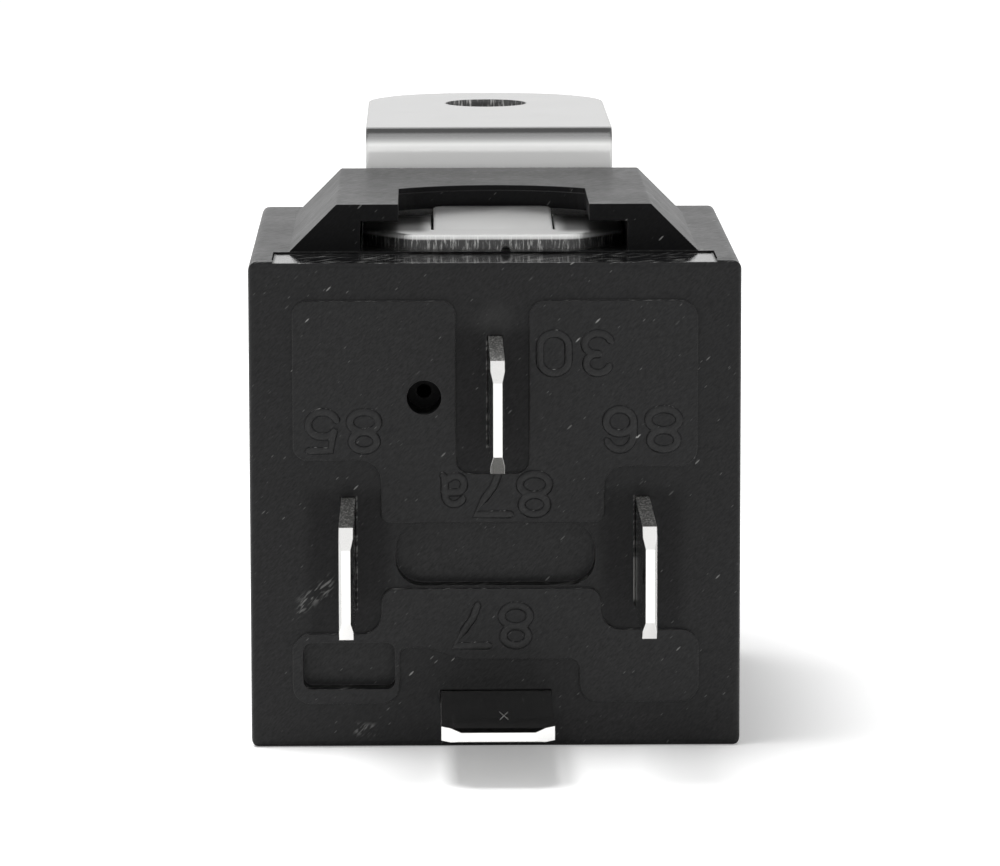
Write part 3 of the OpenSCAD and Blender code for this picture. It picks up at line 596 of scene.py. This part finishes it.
def stroke_mesh(lines, width, height, vertices, faces, origin, surface):
    """One sign as swept strokes, seen turned by half a turn: origin is its right and top corner."""
    sides = len(SECTION)
    for number, (line, closed) in enumerate(lines):
        relief = RELIEF * (1.0 - LOWER * number)
        points = [(STROKE / 2 + u * (width - STROKE), STROKE / 2 + v * (height - STROKE))
                  for u, v in line]
        count = len(points)
        # Each ring: its middle, the way across the line, and the share of the full width
        rings = []
        for i, point in enumerate(points):
            before = points[i - 1] if closed or i else points[0]
            after = points[(i + 1) % count] if closed or i < count - 1 else points[-1]
            length = hypot(after[0] - before[0], after[1] - before[1])
            across = (-(after[1] - before[1]) / length, (after[0] - before[0]) / length)
            rings.append((point, across, 1.0))
        if not closed:
            # Smaller rings beyond each end round it off
            for index, sign in ((0, -1), (-1, 1)):
                (u, v), across, _ = rings[index]
                along = (across[1] * sign, -across[0] * sign)
                extra = [((u + along[0] * STROKE / 2 * sin(a), v + along[1] * STROKE / 2 * sin(a)),
                          across, max(cos(a), END_WIDTH)) for a in END_TURNS]
                rings = extra[::-1] + rings if index == 0 else rings + extra
        first = len(vertices)
        for (u, v), across, narrow in rings:
            for side, out in SECTION:
                a = u + across[0] * side * narrow * STROKE / 2
                b = v + across[1] * side * narrow * STROKE / 2
                vertices.append(((origin[0] - a) * MM, surface - out * relief * MM,
                                 (origin[1] - b) * MM))
        for i in range(len(rings) if closed else len(rings) - 1):
            here = first + i * sides
            there = first + (i + 1) % len(rings) * sides
            for n in range(sides):
                m = (n + 1) % sides
                faces.append((here + n, here + m, there + m, there + n))
        if not closed:
            last = first + (len(rings) - 1) * sides
            faces.append(tuple(first + n for n in range(sides))[::-1])
            faces.append(tuple(last + n for n in range(sides)))


def raised_number(name, signs):
    """signs: each sign's character, then its left, right, bottom and top, seen from the blades."""
    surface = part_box("base")[0].y
    vertices, faces = [], []
    for char, left, right, bottom, top in signs:
        stroke_mesh(SIGNS[char], right - left, top - bottom, vertices, faces, (right, top), surface)
    mesh = bpy.data.meshes.new(name)
    mesh.from_pydata(vertices, [], faces)
    mesh.validate()
    mesh.shade_smooth()
    mesh.materials.append(base_black)
    piece = place(bpy.data.objects.new(name, mesh), Matrix.Identity(4))
    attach(piece, "relay")


def make_numbers():
    raised_number("number_30", [("3", 4.8, 6.8, 21.4, 24.15), ("0", 2.3, 4.4, 21.4, 24.15)])
    raised_number("number_85", [("8", -8.5, -6.4, 17.0, 19.7), ("5", -10.9, -8.8, 17.0, 19.7)])
    raised_number("number_86", [("8", 8.45, 10.7, 17.0, 19.8), ("6", 6.05, 8.1, 17.0, 19.8)])
    raised_number("number_87a", [("8", 1.15, 3.3, 13.3, 16.1), ("7", -1.45, 1.05, 13.3, 16.1),
                                 ("a", -3.2, -1.55, 13.9, 16.0)])
    raised_number("number_87", [("8", 0.1, 2.2, 5.7, 8.5), ("7", -2.6, -0.2, 5.7, 8.5)])


# ---------------------------------------------------------------- leaf spring

def make_spring():
    """The leaf bends over the yoke's edge: it lies along the yoke, turns round the hinge and runs
    down the armature.
    """
    low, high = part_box("contact_spring")
    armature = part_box("armature")
    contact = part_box("moving_contact")
    joint = next(j for j in frame["joints"] if j["name"] == "armature_pivot")
    hinge = Vector(joint.get("pos_m") or joint["pos"])
    thick = 0.3 * MM
    armature_thick = 1.4 * MM
    opened = radians(3)
    half = (high.x - low.x) / 2
    tip_half = (contact[1].x - contact[0].x) / 2
    # Middle line in Y and Z: along the yoke, round the hinge and down the armature
    on_yoke, in_bend, on_armature = 24, 8, 30
    level = high.z - thick / 2
    radius = 0.7 * MM
    leg = hinge.y + armature_thick + thick / 2
    line = [(low.y + (leg - radius - low.y) * i / on_yoke, level) for i in range(on_yoke + 1)]
    line += [(leg - radius + radius * sin(a), level - radius + radius * cos(a))
             for a in [radians(90) * i / in_bend for i in range(1, in_bend + 1)]]
    foot = low.z
    line += [(leg + (level - radius - z) * sin(opened) / cos(opened), z)
             for z in [level - radius + (foot - level + radius) * i / on_armature
                       for i in range(1, on_armature + 1)]]
    # The leg narrows from the armature's foot to the contact, and its tip is round
    narrow_from = contact[1].z
    narrow_to = armature[0].z + 1.0 * MM
    round_from = contact[0].z + tip_half
    vertices, faces = [], []
    for i, (y, z) in enumerate(line):
        before, after = line[max(i - 1, 0)], line[min(i + 1, len(line) - 1)]
        length = hypot(after[0] - before[0], after[1] - before[1])
        out = (-(after[1] - before[1]) / length, (after[0] - before[0]) / length)
        wide = half
        if i > on_yoke + 1 + in_bend:
            share = min(max((z - narrow_from) / (narrow_to - narrow_from), 0), 1)
            wide = tip_half + (half - tip_half) * share
            if z < round_from:
                drop = min((round_from - z) / tip_half, 1)
                wide = tip_half * max(cos(asin(drop)), 0.35)
        for side in (-1, 1):
            for face in (-1, 1):
                vertices.append((side * wide, y + out[0] * face * thick / 2,
                                 z + out[1] * face * thick / 2))
    for a in range(0, len(vertices) - 4, 4):
        for p, q in ((0, 1), (1, 3), (3, 2), (2, 0)):
            faces.append((a + p, a + q, a + 4 + q, a + 4 + p))
    faces.append((0, 2, 3, 1))
    last = len(vertices) - 4
    faces.append((last, last + 1, last + 3, last + 2))
    mesh = bpy.data.meshes.new("leaf_spring")
    mesh.from_pydata(vertices, [], faces)
    mesh.validate()
    mesh.materials.append(MATERIALS["contact_spring"])
    piece = place(bpy.data.objects.new("leaf_spring", mesh), Matrix.Identity(4))
    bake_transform(piece)
    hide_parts("contact_spring")


make_camera()
make_world()
make_floor()
make_lamp("key", location=(-0.20, 0.05, 0.75), target=(0, 0, 0.01), size=0.46, watts=6.0)
dress()
make_numbers()
make_spring()
